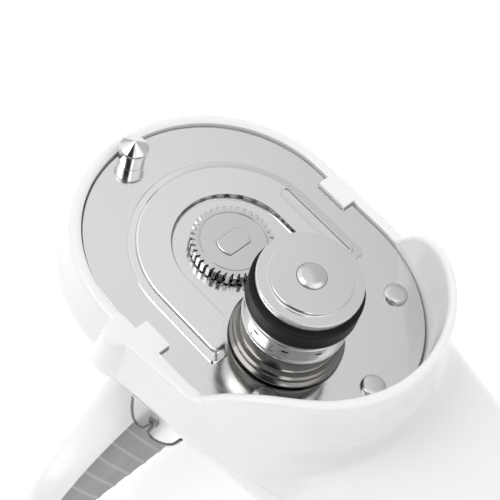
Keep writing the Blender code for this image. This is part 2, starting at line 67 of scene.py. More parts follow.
Z_FACE = -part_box("base_plate")[1].z * 1000.0          # plate face below the frame's origin
CAMX, CAMY = [v * 1000.0 for v in JOINTS["cutter_swing"]["pos_m"][:2]]
CUTX, CUTY = [v * 1000.0 for v in JOINTS["roller_spin"]["pos_m"][:2]]
YC = 0.3
XL, XR, RXL, RXR, RY = -2.5, 12.0, 22.4, 23.9, 22.4
Z_SPLIT, HEAD_BOT = -7.0, -12.8
KEY_A, KEY_B, KEY_Z, KEY_TURN = 45.0, 14.6, -31.4, math.radians(9.3)
SCREWS = ((-17.0, 7.5), (-17.0, -9.0), (62.0, YC), (128.0, YC))
RIVETS = ((22.6, 15.6), (31.9, 0.5), (22.9, -14.4))
PIN = (-22.65, -1.5)


# ------------------------------------------------------------------ mesh tools
def raw(name, verts, faces):
    me = bpy.data.meshes.new(name)
    me.from_pydata([tuple(map(float, v)) for v in verts], [], [tuple(map(int, f)) for f in faces])
    me.validate()
    ob = bpy.data.objects.new(name, me)
    bpy.context.scene.collection.objects.link(ob)
    bm = bmesh.new()
    bm.from_mesh(me)
    bmesh.ops.recalc_face_normals(bm, faces=bm.faces)
    if bm.calc_volume(signed=True) < 0:
        bmesh.ops.reverse_faces(bm, faces=bm.faces)
    bm.to_mesh(me)
    bm.free()
    return ob


def raw_np(name, V, Q):
    """Quad mesh from arrays, already outward."""
    me = bpy.data.meshes.new(name)
    me.vertices.add(len(V))
    me.vertices.foreach_set("co", np.asarray(V, np.float32).ravel())
    me.loops.add(len(Q) * 4)
    me.loops.foreach_set("vertex_index", np.asarray(Q, np.int32).ravel())
    me.polygons.add(len(Q))
    me.polygons.foreach_set("loop_start", np.arange(0, len(Q) * 4, 4, dtype=np.int32))
    me.update(calc_edges=True)
    me.validate()
    ob = bpy.data.objects.new(name, me)
    bpy.context.scene.collection.objects.link(ob)
    return ob


def drop(ob):
    me = ob.data
    bpy.data.objects.remove(ob, do_unlink=True)
    bpy.data.meshes.remove(me)


def sound(me):
    bm = bmesh.new()
    bm.from_mesh(me)
    ok = len(bm.faces) > 3 and all(e.is_manifold for e in bm.edges)
    bm.free()
    return ok


def boolean(ob, cutter, op="DIFFERENCE", first="MANIFOLD"):
    order = ("MANIFOLD", "EXACT") if first == "MANIFOLD" else ("EXACT", "MANIFOLD")
    for solver in order:
        mod = ob.modifiers.new("b", "BOOLEAN")
        mod.operation = op
        mod.solver = solver
        mod.object = cutter
        deps = bpy.context.evaluated_depsgraph_get()
        deps.update()
        new = bpy.data.meshes.new_from_object(ob.evaluated_get(deps))
        ob.modifiers.remove(mod)
        if sound(new) or solver == order[1]:
            break
        bpy.data.meshes.remove(new)
    old = ob.data
    ob.data = new
    new.name = ob.name
    bpy.data.meshes.remove(old)
    drop(cutter)
    return ob


def loft(name, rings, ends=True):
    n = len(rings[0])
    verts = [p for r in rings for p in r]
    faces = []
    for i in range(len(rings) - 1):
        for j in range(n):
            k = (j + 1) % n
            faces.append((i * n + j, i * n + k, (i + 1) * n + k, (i + 1) * n + j))
    if ends:
        faces.append(tuple(range(n)))
        faces.append(tuple((len(rings) - 1) * n + j for j in range(n)))
    return raw(name, verts, faces)


def prism(name, outline, z0, z1):
    return loft(name, [[(x, y, z0) for x, y in outline], [(x, y, z1) for x, y in outline]])


def circle(cx, cy, r, n=96, turn=0.0):
    return [(cx + r * math.cos(turn + 2 * math.pi * i / n), cy + r * math.sin(turn + 2 * math.pi * i / n)) for i in range(n)]


def rod(name, cx, cy, r, z0, z1, n=48):
    return prism(name, circle(cx, cy, r, n), z0, z1)


def box(name, x0, x1, y0, y1, z0, z1):
    return prism(name, [(x0, y0), (x1, y0), (x1, y1), (x0, y1)], z0, z1)


def rounded(path, r, seg=4):
    """Path of (u, v) points with its inner corners rounded."""
    out = [path[0]]
    for a, b, c in zip(path, path[1:], path[2:]):
        va, vc = Vector(a) - Vector(b), Vector(c) - Vector(b)
        la, lc = va.length, vc.length
        if la < 1e-6 or lc < 1e-6:
            continue
        ang = va.angle(vc)
        if ang > math.radians(172):
            out.append(b)
            continue
        t = min(r / math.tan(ang / 2), 0.45 * la, 0.45 * lc)
        p, q = Vector(b) + va / la * t, Vector(b) + vc / lc * t
        for i in range(seg + 1):
            s = i / seg
            w = (1 - s) ** 2 * p + 2 * s * (1 - s) * Vector(b) + s * s * q
            out.append((w.x, w.y))
    out.append(path[-1])
    return out


def lathe(name, cx, cy, profile, r=0.15, n=96, hole=None, seg=3):
    """Turned solid about a vertical axis; profile = (radius, z) from the top down."""
    path = rounded(list(profile), r, seg)
    if hole is None:
        rings = [[(x, y, z) for x, y in circle(cx, cy, max(rr, 0.02), n)] for rr, z in path]
        return loft(name, rings)
    ring = [(hole, path[0][1])] + path + [(hole, path[-1][1])]
    k = len(ring)
    verts = [(x, y, z) for rr, z in ring for x, y in circle(cx, cy, rr, n)]
    faces = []
    for i in range(k):
        a, b = i, (i + 1) % k
        for j in range(n):
            q = (j + 1) % n
            faces.append((a * n + j, a * n + q, b * n + q, b * n + j))
    return raw(name, verts, faces)


def outline(off, n_end=64, n_side=12):
    """Outline of the steel plate moved outwards by off."""
    pts = []
    for i in range(n_end + 1):
        a = -math.pi / 2 + math.pi * i / n_end
        nx, ny = math.cos(a) / RXR, math.sin(a) / RY
        k = math.hypot(nx, ny)
        pts.append((XR + RXR * math.cos(a) + off * nx / k, YC + RY * math.sin(a) + off * ny / k))
    for i in range(1, n_side):
        pts.append((XR + (XL - XR) * i / n_side, YC + RY + off))
    for i in range(n_end + 1):
        a = math.pi / 2 + math.pi * i / n_end
        nx, ny = math.cos(a) / RXL, math.sin(a) / RY
        k = math.hypot(nx, ny)
        pts.append((XL + RXL * math.cos(a) + off * nx / k, YC + RY * math.sin(a) + off * ny / k))
    for i in range(1, n_side):
        pts.append((XL + (XR - XL) * i / n_side, YC - RY - off))
    return pts


# ------------------------------------------------------------------ fields and their skins
def spline(xs, ys):
    """Natural cubic through the table, as a function on arrays."""
    x, y = np.array(xs, float), np.array(ys, float)
    n = len(x)
    h = np.diff(x)
    A = np.zeros((n, n))
    b = np.zeros(n)
    A[0, 0] = A[-1, -1] = 1
    for i in range(1, n - 1):
        A[i, i - 1], A[i, i], A[i, i + 1] = h[i - 1], 2 * (h[i - 1] + h[i]), h[i]
        b[i] = 6 * ((y[i + 1] - y[i]) / h[i] - (y[i] - y[i - 1]) / h[i - 1])
    m = np.linalg.solve(A, b)

    def f(t):
        t = np.clip(t, x[0], x[-1])
        i = np.clip(np.searchsorted(x, t) - 1, 0, n - 2)
        a, c = x[i + 1] - t, t - x[i]
        return (m[i] * a ** 3 + m[i + 1] * c ** 3) / (6 * h[i]) + (y[i] / h[i] - m[i] * h[i] / 6) * a + (y[i + 1] / h[i] - m[i + 1] * h[i] / 6) * c
    return f


def smin(a, b, k):
    h = np.maximum(k - np.abs(a - b), 0.0) / k
    return np.minimum(a, b) - h * h * h * (k / 6.0)


def smax(a, b, k):
    return -smin(-a, -b, k)


def rmax(a, b, r):
    """Intersection with a round edge of radius r."""
    return np.minimum(np.maximum(a, b), -r) + np.sqrt(np.maximum(a + r, 0) ** 2 + np.maximum(b + r, 0) ** 2)


def skin(name, field, xs, ys, zs, steps=3):
    """Smooth closed quad mesh on field = 0, over a grid that may be uneven."""
    xs, ys, zs = (np.asarray(v, float) for v in (xs, ys, zs))
    F = np.ascontiguousarray(np.broadcast_to(field(xs[:, None, None], ys[None, :, None], zs[None, None, :]), (len(xs), len(ys), len(zs))))
    S = F < 0
    C = S.astype(np.int8)
    T = sum(C[a:a + len(xs) - 1, b:b + len(ys) - 1, c:c + len(zs) - 1] for a in (0, 1) for b in (0, 1) for c in (0, 1))
    act = (T > 0) & (T < 8)
    ids = -np.ones(act.shape, np.int64)
    I, J, K = np.nonzero(act)
    ids[I, J, K] = np.arange(len(I))
    P = np.zeros((len(I), 3))
    W = np.zeros(len(I))
    for ax in range(3):
        others = [o for o in range(3) if o != ax]
        for u in (0, 1):
            for v in (0, 1):
                o = [0, 0, 0]
                o[others[0]], o[others[1]] = u, v
                a = (I + o[0], J + o[1], K + o[2])
                o[ax] = 1
                b = (I + o[0], J + o[1], K + o[2])
                fa, fb = F[a], F[b]
                m = (fa < 0) != (fb < 0)
                t = np.where(m, fa / np.where(m, fa - fb, 1), 0)
                pa = np.stack([xs[a[0]], ys[a[1]], zs[a[2]]], 1)
                pb = np.stack([xs[b[0]], ys[b[1]], zs[b[2]]], 1)
                P[m] += (pa + (pb - pa) * t[:, None])[m]
                W += m
    P /= W[:, None]
    quads = []
    for ax in range(3):
        p, q = (ax + 1) % 3, (ax + 2) % 3
        lo = [slice(1, -1)] * 3
        hi = [slice(1, -1)] * 3
        lo[ax], hi[ax] = slice(0, -1), slice(1, None)
        a, b = S[tuple(lo)], S[tuple(hi)]
        e = np.nonzero(a != b)
        base = [e[0].copy(), e[1].copy(), e[2].copy()]
        base[p] += 1
        base[q] += 1

        def cell(dp, dq):
            c = list(base)
            c[p] = c[p] + dp
            c[q] = c[q] + dq
            return ids[c[0], c[1], c[2]]
        Q = np.stack([cell(-1, -1), cell(0, -1), cell(0, 0), cell(-1, 0)], 1)
        inside = a[e]
        Q[~inside] = Q[~inside][:, ::-1]
        quads.append(Q)
    Q = np.concatenate(quads)
    eps = 0.04
    lim = 0.3
    for _ in range(steps):
        f0 = field(P[:, 0], P[:, 1], P[:, 2])
        g = np.stack([(field(P[:, 0] + eps * (k == 0), P[:, 1] + eps * (k == 1), P[:, 2] + eps * (k == 2)) -
                       field(P[:, 0] - eps * (k == 0), P[:, 1] - eps * (k == 1), P[:, 2] - eps * (k == 2))) / (2 * eps) for k in range(3)], 1)
        n2 = np.maximum((g ** 2).sum(1), 0.05)
        step = (f0 / n2)[:, None] * g
        ln = np.linalg.norm(step, axis=1)
        step *= np.minimum(1.0, lim / np.maximum(ln, 1e-9))[:, None]
        P -= step
    return raw_np(name, P, Q)


def grid_line(*spans):
    """Uneven grid line from (start, end, step) spans that follow each other."""
    out = []
    for a, b, s in spans:
        n = max(1, int(round((b - a) / s)))
        out += [a + (b - a) * i / n for i in range(n)]
    out.append(spans[-1][1])
    return np.array(out)


def plate_dist(X, Y):
    y = Y - YC
    left = np.hypot(X - XL, y) - RXL
    mid = np.abs(y) - RY
    dx = X - XR
    k = np.maximum(np.sqrt((dx / RXR) ** 2 + (y / RY) ** 2), 1e-6)
    g = np.maximum(np.sqrt((dx / RXR ** 2) ** 2 + (y / RY ** 2) ** 2), 1e-9) / k
    right = (k - 1) / g
    return np.where(X < XL, left, np.where(X > XR, right, mid))


def poly_dist(X, Y, pts):
    X, Y = np.broadcast_arrays(X, Y)
    d = np.full(X.shape, 1e9)
    inside = np.zeros(X.shape, bool)
    n = len(pts)
    for i in range(n):
        (ax, ay), (bx, by) = pts[i], pts[(i + 1) % n]
        ex, ey = bx - ax, by - ay
        wx, wy = X - ax, Y - ay
        t = np.clip((wx * ex + wy * ey) / (ex * ex + ey * ey), 0, 1)
        d = np.minimum(d, np.hypot(wx - ex * t, wy - ey * t))
        c = ((ay > Y) != (by > Y)) & (X < ex * (Y - ay) / (ey if abs(ey) > 1e-9 else 1e-9) + ax)
        inside ^= c
    return np.where(inside, -d, d)


HEAD_OFF = spline((-12.8, -10.6, -8.4, -7.3, -6.9, -4.0, -0.6, 0.55, 1.2), (-1.2, 1.0, 2.7, 3.4, 3.62, 3.2, 2.45, 2.15, 1.9))
HW = spline((8, 20, 35, 50, 75, 105, 140, 160, 176), (23.6, 23.9, 21.8, 19.4, 16.3, 14.7, 15.1, 14.4, 12.4))
HT = spline((8, 22, 35, 45, 80, 120, 150, 176), (-4.0, -4.0, -3.9, -3.3, -1.1, -1.6, -4.2, -7.8))
HB = spline((8, 25, 50, 80, 120, 150, 176), (-12.0, -13.8, -17.0, -21.0, -23.0, -23.4, -21.4))
GN = spline((15.5, 16.2, 17, 18.5, 20.7, 23, 26, 29, 33, 36), (-1.5, 0.2, 1.7, 4.0, 6.8, 8.9, 10.8, 11.6, 11.95, 12.0))
GF = spline((14.6, 15.5, 16.6, 18.7, 21.9, 25.8, 29, 33, 36), (-1.5, 0.3, 2.6, 6.1, 9.0, 10.9, 11.5, 11.9, 12.0))
PAD_TOP = [(-1.5, -23.0), (-1.55, -24.3), (-1.25, -25.4), (-0.65, -26.3), (0.1, -26.85), (1.0, -27.06), (1.9, -26.8), (2.6, -26.1), (3.15, -25.2),
           (6.1, -24.85), (10.1, -24.4), (16.7, -23.8), (19.5, -22.0), (18.0, -16.0), (0.0, -16.0)]
PAD_LOW = [(-2.7, -23.4), (-2.75, -24.8), (-2.4, -26.3), (-1.6, -27.2), (-0.4, -27.85), (1.0, -28.05), (2.3, -27.85), (3.3, -27.4), (4.2, -26.95),
           (7.5, -26.45), (12.5, -25.95), (19.3, -25.2), (22.0, -22.6), (18.0, -16.0), (0.0, -16.0)]


def handle_field(X, Y, Z, inset=0.0, x0=8.0, end=176.0):
    w = HW(X) - inset
    zt, zb = HT(X) - inset, HB(X) + inset
    cz, h = 0.5 * (zt + zb), 0.5 * (zt - zb)
    p = 2.5
    R = 17.0
    u = np.maximum(0.0, X - (end - inset - R)) / R
    ay, az = np.abs(Y - YC) / w, np.abs(Z - cz) / h
    q = np.maximum((ay ** p + az ** p + u ** p) ** (1 / p), 1e-4)
    g = np.sqrt((ay ** (p - 1) / w) ** 2 + (az ** (p - 1) / h) ** 2 + (u ** (p - 1) / R) ** 2) * q ** (1 - p)
    d = (q - 1) / np.maximum(g, 0.03)
    return np.maximum(d, x0 - X)


def housing_field(X, Y, Z):
    d2 = plate_dist(X, Y)
    side = d2 - HEAD_OFF(np.clip(Z, -12.8, 1.2))
    lip = np.clip((1.1 - d2) / 0.8, 0, 1)
    top = Z - 0.9 + 0.35 * (1 - np.sqrt(1 - 0.98 * lip ** 2))
    f = rmax(side, top, 0.75)
    f = rmax(f, HEAD_BOT - Z, 2.2)
    f = smin(f, handle_field(X, Y, Z), 5.0)
    # guard wall round the handle end
    far = np.clip((Y - YC) / 6.0 * 0.5 + 0.5, 0, 1)
    far = far * far * (3 - 2 * far)
    h = GN(X) * (1 - far) + GF(X) * far
    thick = 2.3 - 0.5 * far
    wall = np.abs(d2 - 0.5 * thick - 0.15) - 0.5 * thick + 0.15
    slope = 1.0 + 1.2 * np.clip((22.0 - X) / 6.0, 0, 1)
    g = rmax(wall, (Z - h) / slope, 0.8)
    g = np.maximum(g, -6.0 - Z)
    k = 1.2 + 5.0 * np.clip((X - 20.0) / 10.0, 0, 1)
    f = smin(f, g, k)
    # flat-topped pad with a round nose on the near edge, ending at the parting plane
    flat = np.ndim(X) == 1
    xx, yy = (X, Y) if flat else (X[:, :, 0], Y[:, :, 0])
    pa, pb = poly_dist(xx - 0.15, yy + 0.26, PAD_TOP), poly_dist(xx, yy, PAD_LOW)
    if not flat:
        pa, pb = pa[:, :, None], pb[:, :, None]
    w = np.clip((0.9 - Z) / 7.9, 0, 1.2)
    p = rmax(pa * (1 - w) + pb * w, Z - 0.9, 0.55)
    p = rmax(p, -7.35 - Z, 0.3)
    return smin(f, p, 0.35)


def build_housing():
    hx = grid_line((-30, 44, 0.45), (44, 60, 0.8), (60, 160, 1.3), (160, 178, 0.7))
    hy = grid_line((-29.5, 28.6, 0.45))
    hz = grid_line((-25, -13.5, 0.55), (-13.5, -7.6, 0.42), (-7.6, -6.4, 0.2), (-6.4, -0.2, 0.42), (-0.2, 1.4, 0.16), (1.4, 13.4, 0.4))
    return skin("housing_skin", housing_field, hx, hy, hz)


# ------------------------------------------------------------------ materials
def nodes_of(name):
    mat = bpy.data.materials.new(name)
    mat.use_nodes = True
    nt = mat.node_tree
    return mat, nt, nt.nodes["Principled BSDF"]


def add(nt, kind, **kw):
    n = nt.nodes.new(kind)
    for k, v in kw.items():
        setattr(n, k, v)
    return n


def coords(nt, scale=(1, 1, 1), loc=(0, 0, 0)):
    tc = add(nt, "ShaderNodeTexCoord")
    mp = add(nt, "ShaderNodeMapping")
    mp.inputs["Scale"].default_value = scale
    mp.inputs["Location"].default_value = loc
    nt.links.new(tc.outputs["Object"], mp.inputs["Vector"])
    return mp.outputs["Vector"]


def noise(nt, vec, scale, detail=3.0, rough=0.5):
    n = add(nt, "ShaderNodeTexNoise")
    n.inputs["Scale"].default_value = scale
    n.inputs["Detail"].default_value = detail
    n.inputs["Roughness"].default_value = rough
    nt.links.new(vec, n.inputs["Vector"])
    return n.outputs["Fac"]


def ramp(nt, fac, lo, hi, a=0.35, b=0.65):
    r = add(nt, "ShaderNodeMapRange")
    r.inputs["From Min"].default_value = a
    r.inputs["From Max"].default_value = b
    r.inputs["To Min"].default_value = lo
    r.inputs["To Max"].default_value = hi
    nt.links.new(fac, r.inputs["Value"])
    return r.outputs["Result"]


def tint(nt, fac, c0, c1):
    r = add(nt, "ShaderNodeValToRGB")
    r.color_ramp.elements[0].position = 0.3
    r.color_ramp.elements[1].position = 0.7
    r.color_ramp.elements[0].color = (*c0, 1)
    r.color_ramp.elements[1].color = (*c1, 1)
    nt.links.new(fac, r.inputs["Fac"])
    return r.outputs["Color"]


def bump(nt, bsdf, height, strength, dist):
    b = add(nt, "ShaderNodeBump")
    b.inputs["Strength"].default_value = strength
    b.inputs["Distance"].default_value = dist
    nt.links.new(height, b.inputs["Height"])
    nt.links.new(b.outputs["Normal"], bsdf.inputs["Normal"])
    return b


def plastic(name, c, rough, spread=0.05, grain=900, bumpy=0.06, coat=0.0, var=0.02):
    mat, nt, bs = nodes_of(name)
    v = coords(nt)
    big = noise(nt, v, 45, 2)
    fine = noise(nt, v, grain, 4, 0.6)
    nt.links.new(tint(nt, big, [max(0, k - var) for k in c], [min(1, k + var) for k in c]), bs.inputs["Base Color"])
    nt.links.new(ramp(nt, noise(nt, v, 160, 3), rough - spread, rough + spread), bs.inputs["Roughness"])
    bs.inputs["IOR"].default_value = 1.49
    if coat:
        bs.inputs["Coat Weight"].default_value = coat
        bs.inputs["Coat Roughness"].default_value = 0.08
    bump(nt, bs, fine, bumpy, 0.00004)
    return mat


def steel(name, c, rough, spread=0.04, brush=None, turned=None, bumpy=0.05, var=0.03, scratch=True):
    """brush = stretch of the rolling grain; turned = axis (x, y) in metres of lathe marks."""
    mat, nt, bs = nodes_of(name)
    bs.inputs["Metallic"].default_value = 1.0
    if turned is not None:
        v = coords(nt, loc=(-turned[0], -turned[1], 0))
        sep = add(nt, "ShaderNodeSeparateXYZ")
        nt.links.new(v, sep.inputs[0])
        xx = add(nt, "ShaderNodeMath", operation="MULTIPLY")
        yy = add(nt, "ShaderNodeMath", operation="MULTIPLY")
        nt.links.new(sep.outputs[0], xx.inputs[0]); nt.links.new(sep.outputs[0], xx.inputs[1])
        nt.links.new(sep.outputs[1], yy.inputs[0]); nt.links.new(sep.outputs[1], yy.inputs[1])
        s = add(nt, "ShaderNodeMath", operation="ADD")
        nt.links.new(xx.outputs[0], s.inputs[0]); nt.links.new(yy.outputs[0], s.inputs[1])
        r = add(nt, "ShaderNodeMath", operation="SQRT")
        nt.links.new(s.outputs[0], r.inputs[0])
        comb = add(nt, "ShaderNodeCombineXYZ")
        nt.links.new(r.outputs[0], comb.inputs[0])
        nt.links.new(sep.outputs[2], comb.inputs[2])
        g = noise(nt, comb.outputs[0], 3200, 3, 0.6)
        v2 = coords(nt)
    else:
        st = brush or (1, 1, 1)
        g = noise(nt, coords(nt, scale=st), 1500, 4, 0.6)
        v2 = coords(nt)
    big = noise(nt, v2, 70, 3)
    nt.links.new(tint(nt, big, [k * (1 - var) for k in c], [min(1, k * (1 + var)) for k in c]), bs.inputs["Base Color"])
    mixr = add(nt, "ShaderNodeMath", operation="ADD")
    nt.links.new(ramp(nt, g, -spread, spread), mixr.inputs[0])
    nt.links.new(ramp(nt, big, rough - spread * 0.6, rough + spread * 0.6), mixr.inputs[1])
    nt.links.new(mixr.outputs[0], bs.inputs["Roughness"])
    bump(nt, bs, g, bumpy, 0.00002)
    return mat


M = {}
M["white"] = plastic("gloss_white", (0.87, 0.87, 0.87), 0.22, 0.04, 1100, 0.05, coat=0.25, var=0.008)
M["plate"] = steel("polished_sheet", (0.70, 0.70, 0.695), 0.13, 0.03, brush=(0.15, 1, 1), bumpy=0.03, var=0.012)
M["pad"] = steel("pressed_sheet", (0.72, 0.72, 0.715), 0.15, 0.03, brush=(1, 0.2, 1), bumpy=0.03, var=0.012)
M["gear"] = steel("machined_steel", (0.60, 0.60, 0.595), 0.20, 0.05, turned=(0, 0), bumpy=0.10)
M["shaft"] = steel("shaft_steel", (0.60, 0.60, 0.59), 0.22, 0.05, turned=(0, 0), bumpy=0.08)
M["roller"] = steel("turned_steel", (0.68, 0.68, 0.675), 0.15, 0.04, turned=(CUTX * 0.001, CUTY * 0.001), bumpy=0.06)
M["roller_lo"] = steel("turned_steel_bright", (0.66, 0.66, 0.65), 0.10, 0.03, turned=(CUTX * 0.001, CUTY * 0.001), bumpy=0.05)
# hub and cutter disc: steel colour darkened as painted shade, standing in for the dark reflections round the lower
# stack
M["hub"] = steel("painted_shade_steel", (0.21, 0.203, 0.195), 0.13, 0.05, turned=(CUTX * 0.001, CUTY * 0.001), bumpy=0.06)
M["rivet"] = steel("rivet_steel", (0.62, 0.62, 0.615), 0.22, 0.05, bumpy=0.08)
M["pin"] = steel("pin_steel", (0.66, 0.66, 0.66), 0.06, 0.02, turned=(PIN[0] * 0.001, PIN[1] * 0.001), bumpy=0.03)
M["chrome"] = steel("bright_chrome", (0.82, 0.82, 0.82), 0.24, 0.02, bumpy=0.012)
# chrome darkened to 0.16 as painted reflection: the dark line along the lifter's rounded edge and the shaded nub
M["edge"] = steel("painted_dark_reflection_chrome", (0.16, 0.155, 0.15), 0.10, 0.03, bumpy=0.03)
M["plain"] = steel("plated_steel", (0.50, 0.50, 0.49), 0.30, 0.06, bumpy=0.15)
M["rubber"] = plastic("black_rubber", (0.012, 0.012, 0.012), 0.42, 0.08, 1500, 0.25, var=0.004)
M["rubber"].node_tree.nodes["Principled BSDF"].inputs["Specular IOR Level"].default_value = 0.13
M["grey"] = plastic("soft_grey", (0.34, 0.34, 0.345), 0.55, 0.07, 1600, 0.25, var=0.012)
M["bush"] = plastic("bearing_plastic", (0.55, 0.50, 0.40), 0.42, 0.06, 1200, 0.12, var=0.02)


def grip_material():
    """Soft grey inlay whose rib crests carry a painted highlight, a lighter colour along each crest."""
    mat, nt, bs = nodes_of("ribbed_grey")
    sk, ck = math.sin(KEY_TURN), math.cos(KEY_TURN)
    lean = math.radians(64)
    v = coords(nt)

    def math_node(op, a, b=None):
        n = add(nt, "ShaderNodeMath", operation=op)
        for k, q in enumerate((a, b)):
            if q is None:
                continue
            if isinstance(q, (int, float)):
                n.inputs[k].default_value = q
            else:
                nt.links.new(q, n.inputs[k])
        return n.outputs[0]
    dot = add(nt, "ShaderNodeVectorMath", operation="DOT_PRODUCT")
    dot.inputs[1].default_value = (sk * 1000.0, -ck * 1000.0, 0.0)
    nt.links.new(v, dot.inputs[0])
    sep = add(nt, "ShaderNodeSeparateXYZ")
    nt.links.new(v, sep.inputs[0])
    z = math_node("ADD", math_node("MULTIPLY", sep.outputs[2], 1000.0), Z_FACE - KEY_Z)
    u = math_node("SUBTRACT", math_node("MULTIPLY", math_node("ABSOLUTE", dot.outputs["Value"]), math.sin(lean)), math_node("MULTIPLY", z, math.cos(lean)))
    u0 = 26.6 * math.sin(lean) - 11.2 * math.cos(lean)
    q = math_node("DIVIDE", math_node("SUBTRACT", u, u0), 2.75 * (math.sin(lean) + 0.5 * math.cos(lean)))
    off = math_node("ABSOLUTE", math_node("SUBTRACT", q, math_node("ROUND", q)))
    # lighter colour along the rib crests: painted highlight, broken up by noise
    crest_highlight = ramp(nt, off, 1.0, 0.0, 0.045, 0.11)
    crest_highlight.node.clamp = True
    keep = ramp(nt, q, 0.0, 1.0, -0.45, -0.3)
    keep.node.clamp = True
    crest_highlight = math_node("MULTIPLY", crest_highlight, keep)
    highlight_breakup = ramp(nt, noise(nt, v, 700, 3), 0.75, 1.0)
    mask = math_node("MULTIPLY", crest_highlight, highlight_breakup)
    mix = add(nt, "ShaderNodeMix", data_type="RGBA")
    base = tint(nt, noise(nt, v, 60, 2), (0.268, 0.268, 0.272), (0.288, 0.288, 0.292))
    nt.links.new(base, mix.inputs[6])
    # lighter crest colour: painted highlight
    mix.inputs[7].default_value = (0.40, 0.40, 0.40, 1)
    nt.links.new(mask, mix.inputs[0])
    nt.links.new(mix.outputs[2], bs.inputs["Base Color"])
    nt.links.new(ramp(nt, noise(nt, v, 160, 3), 0.48, 0.62), bs.inputs["Roughness"])
    bump(nt, bs, noise(nt, v, 1600, 4, 0.6), 0.25, 0.00004)
    return mat


M["grip"] = grip_material()


def put(ob, mat, body, stands_for=(), angle=35, flat=True):
    """From millimetres over the plate to metres in the frame; material, body, node."""
    ob.data.transform(Matrix.Scale(0.001, 4) @ Matrix.Translation((0, 0, -Z_FACE)))
    ob.data.materials.clear()
    ob.data.materials.append(M[mat])
    for p in ob.data.polygons:
        p.material_index = 0
    ob.data.shade_smooth()
    if angle is not None:
        ob.data.set_sharp_from_angle(angle=math.radians(angle))
    if flat:                                           # broad flats stay flat, only the rounded edges shade
        mod = ob.modifiers.new("wn", "WEIGHTED_NORMAL")
        mod.mode, mod.weight, mod.keep_sharp = "FACE_AREA", 90, True
        deps = bpy.context.evaluated_depsgraph_get()
        deps.update()
        new = bpy.data.meshes.new_from_object(ob.evaluated_get(deps))
        ob.modifiers.remove(mod)
        old, ob.data = ob.data, new
        new.name = ob.name
        bpy.data.meshes.remove(old)
    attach(ob, body)
    if stands_for:
        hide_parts(*([stands_for] if isinstance(stands_for, str) else stands_for))
    return ob


# ------------------------------------------------------------------ white shells
def stadium(x0, x1, y, r, n=24):
    pts = [(x1 + r * math.cos(-math.pi / 2 + math.pi * i / n), y + r * math.sin(-math.pi / 2 + math.pi * i / n)) for i in range(n + 1)]
    return pts + [(x0 + r * math.cos(math.pi / 2 + math.pi * i / n), y + r * math.sin(math.pi / 2 + math.pi * i / n)) for i in range(n + 1)]


def copy_of(ob, name):
    new = ob.copy()
    new.data = ob.data.copy()
    new.name = new.data.name = name
    bpy.context.scene.collection.objects.link(new)
    return new


def hollow(name):
    xs = grid_line((38, 60, 1.2), (60, 160, 3.0), (160, 178, 1.2))
    return skin(name, lambda X, Y, Z: handle_field(X, Y, Z, 2.2, 41.0), xs, grid_line((-22, 22.6, 1.2)), grid_line((-25, 3, 1.0)))


front = build_housing()
front.name = "shell_front"
rear = copy_of(front, "shell_rear")
GAPV = 0.06
boolean(front, box("c", -60, 220, -60, 60, -60, Z_SPLIT))
boolean(front, prism("r", outline(0.22), -1.9, 30))
boolean(front, prism("c", outline(-1.0), -30, -4.0))
boolean(front, prism("o", stadium(0, 14, YC, 14.0), -8, 0))
boolean(front, hollow("h"))
for x0, x1, sgn in ((1.9, 7.6, -1), (-0.5, 5.9, 1)):   # snap tabs that fill the plate's notches
    y_in, y_out = YC + sgn * (22.4 - 2.3 + 0.22), YC + sgn * (22.4 + 1.2)
    tab = box("t", x0 + 0.2, x1 - 0.2, min(y_in, y_out), max(y_in, y_out), -3.0, 0.89)
    boolean(front, tab, "UNION", first="EXACT")
for sx, sy in SCREWS:
    if sx > 30:
        boolean(front, rod("b", sx, sy, 3.4, Z_SPLIT, -3.0, 32), "UNION")
        boolean(front, rod("b", sx, sy, 1.6, Z_SPLIT - 1, -4.6, 24))
for x, y in (*RIVETS, PIN):
    boolean(front, rod("b", x, y, 1.65, -8, 0, 24))
boolean(rear, box("c", -60, 220, -60, 60, Z_SPLIT - GAPV, 60))
boolean(rear, prism("c", outline(-1.0), -10.4, 5.0))
boolean(rear, hollow("h"))
boolean(rear, rod("b", 0, 0, 8.55, -11.6, -9.2, 64), "UNION")
boolean(rear, rod("b", 0, 0, 6.0, -14, -8, 64))
boolean(rear, rod("b", CAMX, CAMY, 6.2, -11.5, -9.4, 64), "UNION")      # seat of the carrier's lower pivot
boolean(rear, rod("b", CAMX, CAMY, 4.3, -10.9, -8, 64))
for ang in (190.0, 330.0):                         # stops of the cutter carrier
    a = math.radians(ang)
    boolean(rear, rod("b", CAMX + 11.5 * math.cos(a), CAMY + 11.5 * math.sin(a), 1.0, -11.4, -5.6, 24), "UNION")
for sx, sy in SCREWS:
    floor_z = HEAD_BOT if sx < 30 else float(HB(np.array([sx]))[0])
    boolean(rear, rod("b", sx, sy, 3.6, floor_z + 1.0, Z_SPLIT - 0.3, 32), "UNION")
    boolean(rear, rod("b", sx, sy, 1.7, -40, 0, 24))
    boolean(rear, rod("b", sx, sy, 2.95, -40, floor_z + 1.9, 40))
boolean(rear, box("s", 6.7, 16.3, -21.6, -17.7, -15, -11.75))
boolean(rear, loft("s", [[(x, -26.7 + 0.115 * (x - 4.19) + d, z) for x, z in ((7.2, -6.5), (7.2, -16.0), (18.5, -16.0), (18.5, -6.5))] for d in (1.4, -4.0)]))
put(front, "white", "housing", "front_housing", 32, False)
put(rear, "white", "housing", "rear_housing", 32, False)

